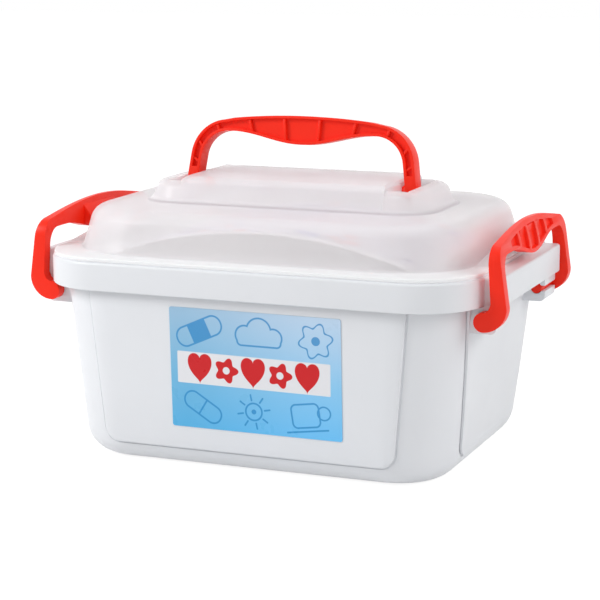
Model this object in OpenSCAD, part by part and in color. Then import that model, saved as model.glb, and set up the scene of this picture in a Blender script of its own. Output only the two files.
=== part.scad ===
// Toy doctor case: a clip box with a domed lid, a carry handle and toy instruments inside.
// The origin is the middle of the underside, +Z is up and the label faces -Y.

/* [Tub] */
// Height of the tub to the top of its rim
tub_h = 105.5; // [100:0.5:110]
// Length of the wall at the rim
tub_top_l = 227; // [224:1:230]
// Width of the wall at the rim
tub_top_w = 160.6; // [158:0.2:163]
// Length of the wall at the floor, without its rounding
tub_base_l = 205.6; // [200:0.2:210]
// Width of the wall at the floor, without its rounding
tub_base_w = 154.2; // [150:0.2:157]
// Corner radius of the wall at the rim
tub_top_r = 37; // [34:1:38]
// Corner radius of the wall at the floor
tub_base_r = 32.5; // [30:0.5:34]
// Rounding between the wall and the floor
floor_round = 15; // [12:1:16]
// Thickness of the wall and the floor
wall = 2; // [1.6:0.1:2.4]
// How far the panels stand out of the wall
panel_step = 1.2; // [0.8:0.1:1.4]

/* [Rim] */
// Length over the rim skirt
rim_l = 236; // [235:0.5:237]
// Width over the rim skirt
rim_w = 170.4; // [169:0.2:172]
// Corner radius of the rim skirt
rim_r = 36; // [34:1:38]
// Height of the rim skirt
skirt_h = 14.7; // [13:0.1:15]
// How far the rim steps out between a clip's arms, from the middle of the case
shelf_x = 126.5; // [125:0.1:127]

/* [Lid] */
// Height of the flange's underside above the rim
flange_gap = 0.1; // [0.05:0.05:0.2]
// Thickness of the flange
flange_t = 2.1; // [1.8:0.1:2.2]
// Length of the flange
flange_l = 234.4; // [233:0.2:235]
// Width of the flange
flange_w = 168.8; // [168:0.2:170]
// Length of the dome at its foot
dome_l = 218; // [216:1:219]
// Width of the dome at its foot
dome_w = 148; // [146:1:150]
// Corner radius of the dome at its foot
dome_r = 43; // [41:1:44]
// Height of the dome's top face
dome_top = 129.7; // [129:0.1:130]
// Rounding around the dome's top face
dome_round = 9; // [7:0.5:10]
// Length of the raised deck at its foot
deck_l = 161; // [159:1:162]
// Width of the raised deck at its foot
deck_w = 67; // [66:0.5:68]
// Height of the deck's two shoulders
deck_top = 140.7; // [140.4:0.1:141]
// Height of the deck's middle, between the handle's legs
middle_top = 143.5; // [143:0.1:143.8]
// Length of the deck's middle
middle_l = 113.2; // [112.8:0.1:113.6]
// Thickness of the lid's shell
lid_t = 1.8; // [1.6:0.1:2]

/* [Handle] */
// Height of the handle's pivot
pivot_z = 137.3; // [137.2:0.1:137.5]
// Height of the handle's top in the middle
grip_top = 174.1; // [172:0.1:175]
// Depth of the handle from front to back
grip_d = 9; // [8:0.5:10]
// How far the grip's belly hangs below its ends
belly = 6; // [4:0.1:6.5]
// Outer radius of the handle's corners
bend_r = 21.5; // [20:0.5:22]
// Thickness of the handle's legs
leg_t = 6; // [5.6:0.1:6.5]
// Radius of the round feet that turn in the deck's pockets
foot_r = 4.7; // [4.6:0.1:4.8]
// How far the handle leans to the back as it stands
handle_lean = 7; // [0:1:10]

/* [Clips] */
// Length over both clips
overall_l = 261; // [260:0.5:262]
// Width over the arms of a clip
clip_w = 121.6; // [120:0.2:123]
// Width of one arm
arm_w = 5.9; // [5:0.1:6]
// Height of the clip's hinge pin
hinge_z = 84.3; // [84:0.1:84.6]
// Distance of the hinge pin from the middle of the case
hinge_x = 118.7; // [118.4:0.1:119]
// Radius of the hinge pins
hinge_r = 3; // [2.6:0.1:3]
// Height of the grip bar's top in the middle
bar_top = 127.2; // [126:0.2:128]

/* [Contents] */
// Radius of the syringe's bore
syringe_r = 9; // [8:0.5:9]
// Length of the syringe's barrel
syringe_l = 72; // [60:1:75]
// Radius of the medicine bottle
bottle_r = 13; // [10:0.5:13]
// Height of the middle of the curled leaflet
leaflet_top = 121; // [118:0.5:122]
// Width of the printed label
label_w = 92.6; // [80:0.2:95]
// Height of the printed label
label_h = 62.3; // [55:0.1:64]

/* [Hidden] */
$fn = 72;
hull_fn = 32;
over = 1;
fit = 0.08;

skirt_z = tub_h - skirt_h;
front_slope = atan((tub_top_w - tub_base_w) / 2 / (tub_h - over - floor_round));
front_top_w = 173;
front_low_w = 159;
end_top_w = 114;
end_low_w = 92;
panel_foot = 11;
panel_r = 8;
label_x = 6.7;
label_z = 54;
label_t = 0.3;
label_r = 1.2;

flange_z = tub_h + flange_gap;
flange_top = flange_z + flange_t;
flange_cut = 1.5;
dome_lean = 4.5;
lip_depth = 5;
lip_t = 1.6;
lip_gap = 0.7;
deck_r = 20;
deck_lean = 3;
deck_round = 2;
middle_cut = 1.5;
pocket_l = 48;
pocket_w = 10.8;
pocket_z = pivot_z - foot_r - 0.4;

pin_r = 2.8;
bend_x = 41.7;
bend_z = 149.5;
leg_lean = 8;
crown_r = 350;
belly_l = 80;
rib_gap = 19;
rib_mid = 165;
rib_fan = 9;
rib_t = 1.3;
leg_ribs = [[60.3, 149, 35], [58, 157.5, 50]];
web_t = 3;
frame_t = 1.4;
foot_in = middle_l / 2 + 1.2;
foot_out = foot_in + 7.2;

hook_r = overall_l / 2 - 118.5;
hook_z = hinge_z - 4.9 + hook_r;
hook_x = overall_l / 2 - hook_r;
arm_lean = 8.2;
arm_in = 122.4;
bar_in = 121.2;
bar_z = 113;
bar_r = 60;
bar_out = overall_l / 2 - (bar_z - hook_z) * tan(arm_lean);
bar_cx = bar_out - bar_r * cos(arm_lean);
bar_cz = bar_z - bar_r * sin(arm_lean);
bar_fall = 7.2;
bar_low = 116.3;
belly_low = 110;
belly_half = 38;
arch_r = 8;
shoulder_r = 9;
pocket_gap = 16;
pocket_open = 12.6;
pocket_deep = 1.8;
pocket_lip = 2;
pocket_band = 2.6;
nose_in = 114.7;
nose_w = 36;
nose_z = 113;
lug_w = 20;
lug_in = 100;
lug_out = hinge_x + 4.8;
lug_low = hinge_z - 7;
lug_top = skirt_z + 2;
lug_r = 3;
slot_w = 3;
shelf_r = 3;
shelf_play = 0.4;
ledge_half = 47;
ledge_z = 111.4;
ledge_cut = 1.2;

leaflet_l = 212;
leaflet_w = 116;
leaflet_t = 0.5;
bow_r = 235;

floor_z = wall + 0.3;
syringe_x = -62;
syringe_y = 42;
syringe_z = floor_z + 12;
seal_l = 9;
seal_foot = 4;
stud_r = 3;
rod_l = syringe_l + 2;
thermometer_y = 17;
hammer_x = 44;
hammer_y = -12;
hammer_z = floor_z + 10;
shaft_r = 4;
bottle_x = 72;
bottle_y = -50;
bottle_l = 36;
neck_r = 7;
otoscope_x = -72;
otoscope_y = -46;
otoscope_z = floor_z + 11;
otoscope_l = 90;
spigot_r = 5;
spigot_l = 5.5;

// A rounded rectangle whose corners stay true arcs
module rounded(l, w, r) {
    square([l, w - 2 * r], center = true);
    square([l - 2 * r, w], center = true);
    for (sx = [-1, 1], sy = [-1, 1]) translate([sx * (l / 2 - r), sy * (w / 2 - r)]) circle(r);
}

module slab(l, w, r, z0, z1) {
    translate([0, 0, z0]) linear_extrude(z1 - z0) rounded(l, w, r);
}

module at_corners(l, w, r, z) {
    for (sx = [-1, 1], sy = [-1, 1])
        translate([sx * (l / 2 - r), sy * (w / 2 - r), z]) children();
}

// The drafted tub as one solid, its surface moved in by inset and its top raised by up
module tub_solid(inset, up) {
    hull() {
        at_corners(tub_base_l, tub_base_w, tub_base_r, floor_round)
            rotate_extrude($fn = hull_fn)
                translate([tub_base_r - floor_round, 0]) circle(floor_round - inset, $fn = hull_fn);
        at_corners(tub_top_l, tub_top_w, tub_top_r, tub_h - over)
            cylinder(r = tub_top_r - inset, h = over + up, $fn = hull_fn);
    }
}

// A panel's outline, wider at the top and round at its lower corners
module panel_shape(top_w, low_w) {
    low_z = panel_foot + panel_r;
    polygon([[-top_w / 2, skirt_z + over], [top_w / 2, skirt_z + over],
             [low_w / 2, low_z], [-low_w / 2, low_z]]);
    translate([-low_w / 2 + panel_r, panel_foot]) square([low_w - 2 * panel_r, 2 * panel_r]);
    for (s = [-1, 1]) translate([s * (low_w / 2 - panel_r), low_z]) circle(panel_r);
}

module panels() {
    intersection() {
        tub_solid(-panel_step, 0);
        union() {
            rotate([90, 0, 0]) linear_extrude(2 * rim_w, center = true)
                panel_shape(front_top_w, front_low_w);
            rotate([90, 0, 90]) linear_extrude(2 * rim_l, center = true)
                panel_shape(end_top_w, end_low_w);
        }
    }
}

// Cradles under the rim that hold the clips' pins, open outwards
module hinge_lug() {
    side_in = clip_w / 2 - arm_w;
    translate([0, side_in - 0.5, 0]) rotate([90, 0, 0]) linear_extrude(lug_w) difference() {
        union() {
            translate([lug_in, lug_low + lug_r]) square([lug_out - lug_in, lug_top - lug_low - lug_r]);
            translate([lug_in, lug_low]) square([lug_out - lug_in - lug_r, lug_r + 1]);
            translate([lug_out - lug_r, lug_low + lug_r]) circle(lug_r);
        }
        translate([hinge_x, hinge_z]) circle(hinge_r + fit);
        translate([hinge_x, hinge_z - slot_w / 2]) square([10, slot_w]);
    }
}

// The rim steps out between a clip's arms, closed above and open below
module clip_shelves() {
    side_w = clip_w - 2 * (arm_w + shelf_play);
    difference() {
        slab(2 * shelf_x, side_w, shelf_r, skirt_z, tub_h);
        slab(2 * (shelf_x - wall), side_w - 2 * wall, shelf_r - wall, skirt_z - over, tub_h - wall);
    }
}

module tub() {
    color("white") difference() {
        union() {
            tub_solid(0, 0);
            panels();
            clip_shelves();
            difference() {
                slab(rim_l, rim_w, rim_r, skirt_z, tub_h);
                slab(rim_l - 2 * wall, rim_w - 2 * wall, rim_r - wall, skirt_z - over, tub_h - wall);
            }
            for (sx = [0, 1], sy = [0, 1]) mirror([sx, 0, 0]) mirror([0, sy, 0]) hinge_lug();
        }
        tub_solid(wall, over);
    }
}

// The label lies on the front panel, a little right of its middle
module front_label() {
    face_y = -tub_base_w / 2 - panel_step - 0.05 - (label_z - floor_round) * tan(front_slope);
    color("skyblue") translate([label_x, face_y, label_z]) rotate([90 + front_slope, 0, 0])
        linear_extrude(label_t) rounded(label_w, label_h, label_r);
}

// The dome as one solid with a round edge to its top face
module dome_solid(inset) {
    low_r = dome_r - inset;
    edge_r = dome_round - inset;
    hull() {
        at_corners(dome_l, dome_w, dome_r, flange_top - over)
            cylinder(r = low_r, h = over, $fn = hull_fn);
        at_corners(dome_l, dome_w, dome_r, dome_top - dome_round)
            rotate_extrude($fn = hull_fn)
                translate([dome_r - dome_lean - dome_round, 0]) circle(edge_r, $fn = hull_fn);
    }
}

// A drafted block on the dome, used for the deck's shoulders and for its middle
module deck_solid(l, top, inset) {
    edge_r = max(deck_round - inset, 0.4);
    hull() {
        at_corners(l, deck_w, deck_r, dome_top - 2 * lid_t)
            cylinder(r = deck_r - inset, h = over, $fn = hull_fn);
        at_corners(l, deck_w, deck_r, top - inset - edge_r)
            rotate_extrude($fn = hull_fn)
                translate([deck_r - inset - deck_lean - edge_r, 0]) circle(edge_r, $fn = 24);
    }
}

// The deck's middle ends in flat walls, which the handle's pins go into, with a chamfer above them
module deck_middle(inset) {
    half_l = middle_l / 2 - inset;
    top = middle_top - inset;
    cut = max(middle_cut - 0.6 * inset, 0.2);
    low = dome_top - 20;
    intersection() {
        deck_solid(deck_l, middle_top, inset);
        rotate([90, 0, 0]) linear_extrude(2 * deck_w, center = true)
            polygon([[-half_l, low], [half_l, low], [half_l, top - cut], [half_l - cut, top],
                     [half_l - cut, top + over], [cut - half_l, top + over], [cut - half_l, top],
                     [-half_l, top - cut]]);
    }
}

module deck_shoulders(inset) {
    difference() {
        deck_solid(deck_l, deck_top, inset);
        for (s = [-1, 1])
            translate([s * (middle_l / 2 + pocket_w / 2 - inset / 2), 0, pocket_z - inset + 20])
                cube([pocket_w + inset, pocket_l + 2 * inset, 40], center = true);
    }
}

module flange() {
    slab(flange_l, flange_w, rim_r - 0.8, flange_z, flange_top - flange_cut / 2);
    slab(flange_l - flange_cut, flange_w - flange_cut, rim_r - 0.8 - flange_cut / 2,
         flange_z, flange_top);
}

// The lip under the flange that finds the tub's mouth
module lip() {
    l = tub_top_l - 2 * (wall + lip_gap);
    w = tub_top_w - 2 * (wall + lip_gap);
    r = tub_top_r - wall - lip_gap;
    difference() {
        slab(l, w, r, tub_h - lip_depth, flange_z + over);
        slab(l - 2 * lip_t, w - 2 * lip_t, r - lip_t, tub_h - lip_depth - over, flange_top);
    }
}

// Ledges on the flange, arched across the case, which the noses of the clips reach over
module clip_ledges() {
    foot_x = flange_l / 2 - 0.6;
    root_x = dome_l / 2 - 11;
    side_z = flange_top - 0.4;
    for (sx = [0, 1]) mirror([sx, 0, 0]) intersection() {
        rotate([90, 0, 0]) linear_extrude(2 * ledge_half, center = true)
            polygon([[root_x, flange_z + over], [foot_x, flange_z + over], [foot_x, ledge_z - ledge_cut],
                     [foot_x - ledge_cut, ledge_z], [root_x, ledge_z]]);
        rotate([90, 0, 90]) linear_extrude(flange_l)
            polygon(concat([[-ledge_half, flange_z]],
                           [for (i = [-10 : 10]) [ledge_half * i / 10,
                                                  side_z + (ledge_z - side_z) * cos(9 * i)]],
                           [[ledge_half, flange_z]]));
    }
}

module lid() {
    color([0.93, 0.9, 0.9, 0.6]) difference() {
        union() {
            dome_solid(0);
            clip_ledges();
            deck_middle(0);
            deck_shoulders(0);
            flange();
            lip();
        }
        difference() {
            dome_solid(lid_t);
            for (s = [-1, 1])
                translate([s * (middle_l / 2 + pocket_w / 2), 0, pocket_z - lid_t + 20])
                    cube([pocket_w + 2 * lid_t, pocket_l + 2 * lid_t, 40], center = true);
        }
        deck_middle(lid_t);
        deck_shoulders(lid_t);
        slab(dome_l - 2 * lid_t, dome_w - 2 * lid_t, dome_r - lid_t, flange_z - over, flange_top);
        translate([-middle_l / 2 - over, 0, pivot_z]) rotate([0, 90, 0])
            cylinder(r = pin_r + fit, h = middle_l + 2 * over);
    }
}

// Points of an arc about c, from angle a0 to a1
function arc(c, r, a0, a1, n) = [for (i = [0 : n])
    let (a = a0 + (a1 - a0) * i / n) [c[0] + r * cos(a), c[1] + r * sin(a)]];

function mirrored(points) = [for (i = [len(points) - 1 : -1 : 0]) [-points[i][0], points[i][1]]];

// Outer edge of the handle from the right foot up to the middle of the crown
function handle_outer(inset) =
    let (r = bend_r - inset,
         top = grip_top - inset,
         lean_x = bend_x + r * cos(leg_lean),
         lean_z = bend_z + r * sin(leg_lean))
    concat([[lean_x + (lean_z - pivot_z) * tan(leg_lean), pivot_z]],
           arc([bend_x, bend_z], r, leg_lean, 84, 10),
           [for (x = [36 : -12 : 12]) [x, top - x * x / (2 * crown_r)]]);

// Inner edge of the handle from the right foot to the middle of the belly
function handle_inner(inset) =
    let (r = bend_r - leg_t + inset,
         low = bend_z + r,
         lean_x = bend_x + r * cos(leg_lean),
         lean_z = bend_z + r * sin(leg_lean))
    concat([[lean_x + (lean_z - pivot_z) * tan(leg_lean), pivot_z]],
           arc([bend_x, bend_z], r, leg_lean, 90, 8),
           [for (i = [10 : -1 : 1]) let (x = belly_l / 2 * i / 10)
               [x, low - belly * (0.5 + 0.5 * cos(180 * i / 10))]]);

module handle_shape(inset) {
    outer = concat(handle_outer(inset), [[0, grip_top - inset]], mirrored(handle_outer(inset)));
    inner = concat(handle_inner(inset), [[0, bend_z + bend_r - leg_t + inset - belly]],
                   mirrored(handle_inner(inset)));
    difference() {
        polygon(outer);
        polygon(inner);
    }
}

// Plates across the web: a fan in the grip and two slanted ones in each leg
module handle_ribs() {
    for (i = [-2.5 : 1 : 2.5])
        translate([i * rib_gap, rib_mid]) rotate(-rib_fan * i) square([rib_t, 30], center = true);
    for (s = [0, 1]) mirror([s, 0])
        for (rib = leg_ribs)
            translate([rib[0], rib[1]]) rotate(rib[2]) square([9, rib_t], center = true);
}

// The bail without its pins, upright
module handle_bow() {
    difference() {
        rotate([90, 0, 0]) linear_extrude(grip_d, center = true) handle_shape(0);
        for (s = [0, 1]) mirror([0, s, 0])
            translate([0, -web_t / 2, 0]) rotate([90, 0, 0]) linear_extrude(grip_d) difference() {
                intersection() {
                    handle_shape(frame_t);
                    translate([-100, pivot_z + 8]) square([200, 60]);
                }
                handle_ribs();
            }
    }
}

module carry_handle() {
    color("red") union() {
        translate([0, 0, pivot_z]) rotate([-handle_lean, 0, 0]) translate([0, 0, -pivot_z])
            handle_bow();
        for (s = [0, 1]) mirror([s, 0, 0]) {
            translate([foot_in, 0, pivot_z]) rotate([0, 90, 0])
                cylinder(r = foot_r, h = foot_out - foot_in);
            translate([middle_l / 2 - 5, 0, pivot_z]) rotate([0, 90, 0])
                cylinder(r = pin_r, h = foot_out - middle_l / 2);
        }
    }
}

// Side view of a clip: hook, leaning arm and the curved bar, in x and z
module clip_side() {
    bar_end = asin((bar_top + over - bar_cz) / bar_r);
    polygon(concat(arc([hook_x, hook_z], hook_r, -90, 0, 10),
                   arc([bar_cx, bar_cz], bar_r, arm_lean, bar_end, 8),
                   [[bar_in, bar_top + over], [bar_in, bar_z], [arm_in, hook_z + 2],
                    [arm_in - 0.9, hook_z - 0.6], [hinge_x, hinge_z + 4.9]]));
    translate([hinge_x, hinge_z]) circle(4.9);
}

// Height of the clip's top edge and of the bar's lower edge across the case
function top_edge(y) = bar_top - bar_fall * (1 - cos(180 * y / clip_w));

function low_edge(y) = abs(y) < belly_half
    ? belly_low + (bar_low - belly_low) * (0.5 - 0.5 * cos(180 * y / belly_half))
    : bar_low;

// Front view of a clip: two arms, the arched top and the belly, in y and z
module clip_front() {
    half_w = clip_w / 2;
    in_w = half_w - arm_w;
    side_w = half_w - shoulder_r;
    top = concat(arc([side_w, top_edge(side_w) - shoulder_r], shoulder_r, 0, 78, 4),
                 [for (i = [9 : -1 : 0]) [side_w * i / 10, top_edge(side_w * i / 10)]]);
    low = concat([[in_w, 60]], arc([in_w - arch_r, bar_low - arch_r], arch_r, 0, 90, 6),
                 [for (i = [10 : -1 : 0]) [belly_half * i / 10, low_edge(belly_half * i / 10)]]);
    difference() {
        polygon(concat([[half_w, 70]], top, turned(top), [[-half_w, 70]]));
        polygon(concat(low, turned(low)));
    }
}

function turned(points) = [for (i = [len(points) - 2 : -1 : 0]) [-points[i][0], points[i][1]]];

// Shallow pockets in the outer face of the bar, with the grip ribs left between them
module clip_pockets() {
    intersection() {
        rotate([90, 0, 0]) linear_extrude(clip_w, center = true) difference() {
            polygon(concat([[bar_cx, bar_cz]], arc([bar_cx, bar_cz], bar_r + 10, 0, 30, 6)));
            circle_at(bar_cx, bar_cz, bar_r - pocket_deep);
        }
        rotate([90, 0, 90]) linear_extrude(2 * overall_l) for (i = [-2 : 2]) {
            middle = i * pocket_gap;
            sides = [for (k = [-1, 0, 1]) middle + k * pocket_open / 2];
            polygon(concat([for (y = sides) [y, low_edge(y) + pocket_lip]],
                           [for (k = [2, 1, 0]) [sides[k], top_edge(sides[k]) - pocket_band]]));
        }
    }
}

module circle_at(x, z, r) {
    translate([x, z]) circle(r, $fn = 180);
}

// The nose behind the bar that catches on the lid's flange
module clip_nose() {
    rotate([90, 0, 0]) linear_extrude(nose_w, center = true)
        polygon([[nose_in, nose_z], [bar_in + 3, nose_z], [bar_in + 3, nose_z + 11],
                 [bar_in, nose_z + 11], [nose_in + 1, nose_z + 4]]);
}

module clip() {
    difference() {
        union() {
            intersection() {
                rotate([90, 0, 0]) linear_extrude(2 * clip_w, center = true) clip_side();
                rotate([90, 0, 90]) linear_extrude(2 * overall_l) clip_front();
            }
            clip_nose();
            for (s = [-1, 1]) translate([hinge_x, s * (clip_w / 2 - arm_w), hinge_z])
                rotate([s * 90, 0, 0]) cylinder(r = hinge_r, h = lug_w);
        }
        clip_pockets();
    }
}

module right_clip() {
    color("red") clip();
}

module left_clip() {
    color("red") mirror([1, 0, 0]) clip();
}

// A printed sheet bowed between the end walls, just under the lid
module leaflet() {
    color("ivory") translate([0, 0, leaflet_top - bow_r]) rotate([90, 0, 0])
        linear_extrude(leaflet_w, center = true) intersection() {
            difference() {
                circle(bow_r, $fn = 360);
                circle(bow_r - leaflet_t, $fn = 360);
            }
            translate([-leaflet_l / 2, 0]) square([leaflet_l, bow_r + over]);
        }
}

// Turns a piece made along +Z so that it lies along +X, with its foot at this point
module lying(x, y, z) {
    translate([x, y, z]) rotate([0, 90, 0]) children();
}

module syringe_barrel() {
    shell = 1.5;
    wing_t = 3;
    wing_w = 2 * (syringe_z - floor_z - 0.2);
    nozzle_l = 8;
    color([0.55, 0.75, 0.95, 0.7]) lying(syringe_x, syringe_y, syringe_z) difference() {
        union() {
            cylinder(r = syringe_r + shell, h = syringe_l);
            translate([0, 0, -nozzle_l]) cylinder(r = 3, h = nozzle_l + over);
            intersection() {
                translate([0, 0, syringe_l - wing_t]) cylinder(r = 2 * syringe_r + 1, h = wing_t);
                cube([wing_w, 60, 3 * syringe_l], center = true);
            }
        }
        translate([0, 0, shell]) cylinder(r = syringe_r, h = syringe_l);
        translate([0, 0, -nozzle_l - over]) cylinder(r = 1, h = nozzle_l + 3 * over);
    }
}

module syringe_plunger() {
    thumb_t = 3;
    disc_t = 2;
    color("red") lying(syringe_x + seal_foot + seal_l, syringe_y, syringe_z) {
        translate([0, 0, 2 - seal_l]) cylinder(r = stud_r, h = seal_l);
        cylinder(r = syringe_r - 0.8, h = disc_t);
        for (a = [0, 90]) rotate(a) translate([0, 0, rod_l / 2 + over])
            cube([2 * syringe_r - 3, 2.2, rod_l], center = true);
        translate([0, 0, rod_l]) cylinder(r = 11, h = thumb_t);
    }
}

module plunger_seal() {
    rib_l = 2;
    color("dimgray") lying(syringe_x + seal_foot, syringe_y, syringe_z) difference() {
        union() {
            cylinder(r = syringe_r - 0.6, h = seal_l);
            for (z = [0.6, seal_l - 2.6]) translate([0, 0, z]) cylinder(r = syringe_r - fit, h = rib_l);
        }
        translate([0, 0, 2]) cylinder(r = stud_r + fit, h = seal_l);
    }
}

module thermometer() {
    stick_l = 112;
    stick_w = 12;
    stick_h = 6;
    tip_l = 12;
    color("white") translate([0, thermometer_y, floor_z]) {
        linear_extrude(stick_h) rounded(stick_l, stick_w, 4);
        translate([stick_l / 2 - 2, 0, stick_h / 2]) rotate([0, 90, 0]) cylinder(r = 2.6, h = tip_l);
        translate([stick_l / 2 + tip_l - 2, 0, stick_h / 2]) sphere(2.9);
    }
}

module hammer_handle() {
    shaft_l = 110;
    grip_l = 42;
    color("royalblue") lying(hammer_x - shaft_l, hammer_y, hammer_z) {
        cylinder(r = shaft_r, h = shaft_l + 4);
        cylinder(r = 6.5, h = grip_l);
        for (z = [6 : 6 : grip_l - 6]) translate([0, 0, z]) cylinder(r = 7.2, h = 2);
    }
}

module hammer_head() {
    head_l = 36;
    face_l = 8;
    color("red") translate([hammer_x, hammer_y, hammer_z]) difference() {
        rotate([90, 0, 0]) union() {
            cylinder(r = 7, h = head_l, center = true);
            for (s = [-1, 1]) translate([0, 0, s * (head_l - face_l) / 2])
                cylinder(r = 9.8, h = face_l, center = true);
        }
        lying(-20, 0, 0) cylinder(r = shaft_r + fit, h = 24);
    }
}

module bottle() {
    color("deepskyblue") translate([bottle_x, bottle_y, floor_z + bottle_r]) rotate([-90, 0, 0])
        rotate_extrude() polygon([[0, 0], [bottle_r - 2, 0], [bottle_r, 2], [bottle_r, bottle_l - 6],
            [neck_r + 1, bottle_l], [neck_r, bottle_l], [neck_r, bottle_l + 9], [0, bottle_l + 9]]);
}

module bottle_cap() {
    cap_r = 9.5;
    cap_l = 11;
    color("white") translate([bottle_x, bottle_y + bottle_l + 1, floor_z + bottle_r])
        rotate([-90, 0, 0]) difference() {
            cylinder(r = cap_r, h = cap_l);
            translate([0, 0, -over]) cylinder(r = neck_r + fit, h = 9);
            for (a = [0 : 20 : 340]) rotate(a) translate([cap_r + 0.4, 0, -over])
                cylinder(r = 0.8, h = cap_l);
        }
}

module otoscope_body() {
    color("royalblue") lying(otoscope_x, otoscope_y, otoscope_z) rotate_extrude()
        polygon([[0, 0], [6, 0], [8, 2], [8, 52], [6.5, 58], [10, 66], [10.5, 74], [9, 80],
            [spigot_r, 84], [spigot_r, otoscope_l], [0, otoscope_l]]);
}

module otoscope_cone() {
    color("gray") lying(otoscope_x + otoscope_l - spigot_l, otoscope_y, otoscope_z) rotate_extrude()
        polygon([[spigot_r + fit, 0], [8.5, 0], [8.5, 4], [3, 24], [1.6, 24], [1.6, spigot_l],
            [spigot_r + fit, spigot_l]]);
}

tub();
front_label();
lid();
carry_handle();
left_clip();
right_clip();
leaflet();
syringe_barrel();
syringe_plunger();
plunger_seal();
thermometer();
hammer_handle();
hammer_head();
bottle();
bottle_cap();
otoscope_body();
otoscope_cone();
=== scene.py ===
import math

import bmesh
import bpy
from mathutils import Matrix, Vector


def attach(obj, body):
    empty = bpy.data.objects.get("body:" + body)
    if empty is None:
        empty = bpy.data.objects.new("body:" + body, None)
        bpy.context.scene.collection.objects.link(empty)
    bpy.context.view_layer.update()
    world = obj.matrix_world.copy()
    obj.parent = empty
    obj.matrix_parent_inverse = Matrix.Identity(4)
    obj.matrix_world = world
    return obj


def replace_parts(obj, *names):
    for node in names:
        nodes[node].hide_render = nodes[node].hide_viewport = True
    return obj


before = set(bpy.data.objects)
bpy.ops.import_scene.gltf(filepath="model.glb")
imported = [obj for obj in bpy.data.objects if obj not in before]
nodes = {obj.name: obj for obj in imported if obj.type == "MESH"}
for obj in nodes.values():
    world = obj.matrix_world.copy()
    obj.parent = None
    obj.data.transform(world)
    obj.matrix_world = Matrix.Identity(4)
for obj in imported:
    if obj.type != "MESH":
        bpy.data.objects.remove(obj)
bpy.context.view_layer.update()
scene = bpy.context.scene
mm = 0.001      # the sizes below are in mm and the angles in degrees
print("frame loaded:", len(nodes), "nodes")

# Photo

photo = {
    "azimuth": 22.35,        # degrees round to the right of the label
    "elevation": 11.218,
    "roll": -0.347,
    "aim": (0, 0, 70),       # mm, the point the offsets are taken from
    "across": 1.505,         # mm, how far the picture's middle is from it
    "up": -5.893,
    "distance": 1053.0,
    "focal": 1969.6,         # pixels, in a picture of this width
    "width": 600,
    "sensor": 36,            # mm
    "clip": (0.05, 60),      # m
}


def addCamera():
    az, el, roll = (math.radians(photo[k]) for k in ("azimuth", "elevation", "roll"))
    ahead = Vector((-math.sin(az) * math.cos(el), math.cos(az) * math.cos(el), -math.sin(el)))
    level = Vector((math.cos(az), math.sin(az), 0))
    upright = level.cross(ahead)
    right = level * math.cos(roll) + upright * math.sin(roll)
    up = upright * math.cos(roll) - level * math.sin(roll)
    bpy.ops.object.camera_add()
    cam = bpy.context.object
    cam.name = "photo_camera"
    cam.data.sensor_width = photo["sensor"]
    cam.data.lens = photo["focal"] / photo["width"] * photo["sensor"]
    cam.data.clip_start, cam.data.clip_end = photo["clip"]
    spot = Vector(photo["aim"]) - ahead * photo["distance"] - right * photo["across"] - up * photo["up"]
    turn = Matrix((right, up, -ahead)).transposed().to_4x4()
    cam.matrix_world = Matrix.Translation(spot * mm) @ turn
    scene.camera = cam


addCamera()
print("camera set")

# Hands: selecting, editing and finishing


def deselectAll():
    if bpy.context.object and bpy.context.object.mode != "OBJECT":
        bpy.ops.object.mode_set(mode="OBJECT")
    bpy.ops.object.select_all(action="DESELECT")


def makeActive(o):
    deselectAll()
    o.select_set(True)
    bpy.context.view_layer.objects.active = o


def editMode(o, kind="VERT"):
    makeActive(o)
    bpy.ops.object.mode_set(mode="EDIT")
    bpy.ops.mesh.select_mode(type=kind)


def pickEdges(o, test):
    # in edit mode: selects only the edges that pass the test
    bm = bmesh.from_edit_mesh(o.data)
    for group in (bm.verts, bm.edges, bm.faces):
        for e in group:
            e.select = False
    for e in bm.edges:
        if test(e):
            e.select_set(True)
    bmesh.update_edit_mesh(o.data)


def objectMode():
    bpy.ops.object.mode_set(mode="OBJECT")


def applyPlace(o):
    makeActive(o)
    bpy.ops.object.transform_apply(location=True, rotation=True, scale=True)


def useModifier(o, kind, **settings):
    makeActive(o)
    m = o.modifiers.new(kind.lower(), kind)
    for key, value in settings.items():
        setattr(m, key, value)
    bpy.ops.object.modifier_apply(modifier=m.name)


def carve(o, tool, how="DIFFERENCE"):
    useModifier(o, "BOOLEAN", operation=how, object=tool, solver="EXACT")
    bpy.data.objects.remove(tool)
    return o


def joined(name, parts):
    makeActive(parts[0])
    for p in parts:
        p.select_set(True)
    bpy.ops.object.join()
    parts[0].name = name
    return parts[0]


def cleaned(o, gap=0.01):
    editMode(o)
    bpy.ops.mesh.select_all(action="SELECT")
    bpy.ops.mesh.remove_doubles(threshold=gap * mm)
    bpy.ops.mesh.dissolve_degenerate(threshold=gap * mm)
    bpy.ops.mesh.normals_make_consistent(inside=False)
    objectMode()
    return o


def smooth(o, angle=32):
    makeActive(o)
    bpy.ops.object.shade_smooth_by_angle(angle=math.radians(angle))


def softEdges(o, width, segments=3, angle=40):
    useModifier(o, "BEVEL", width=width * mm, segments=segments, limit_method="ANGLE",
                angle_limit=math.radians(angle), harden_normals=False, use_clamp_overlap=True)
    return o


def moved(o, matrix):
    o.matrix_world = matrix @ o.matrix_world
    applyPlace(o)
    return o


def mirrorCopy(o):
    # the same piece at the case's other end
    makeActive(o)
    bpy.ops.object.duplicate()
    return cleaned(moved(bpy.context.object, Matrix.Diagonal((-1, 1, 1, 1))))


def addBlock(size, at, turn=(0, 0, 0)):
    deselectAll()
    bpy.ops.mesh.primitive_cube_add(size=1, location=[v * mm for v in at],
                                    rotation=[math.radians(a) for a in turn])
    o = bpy.context.object
    o.scale = [v * mm for v in size]
    applyPlace(o)
    return o


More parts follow.
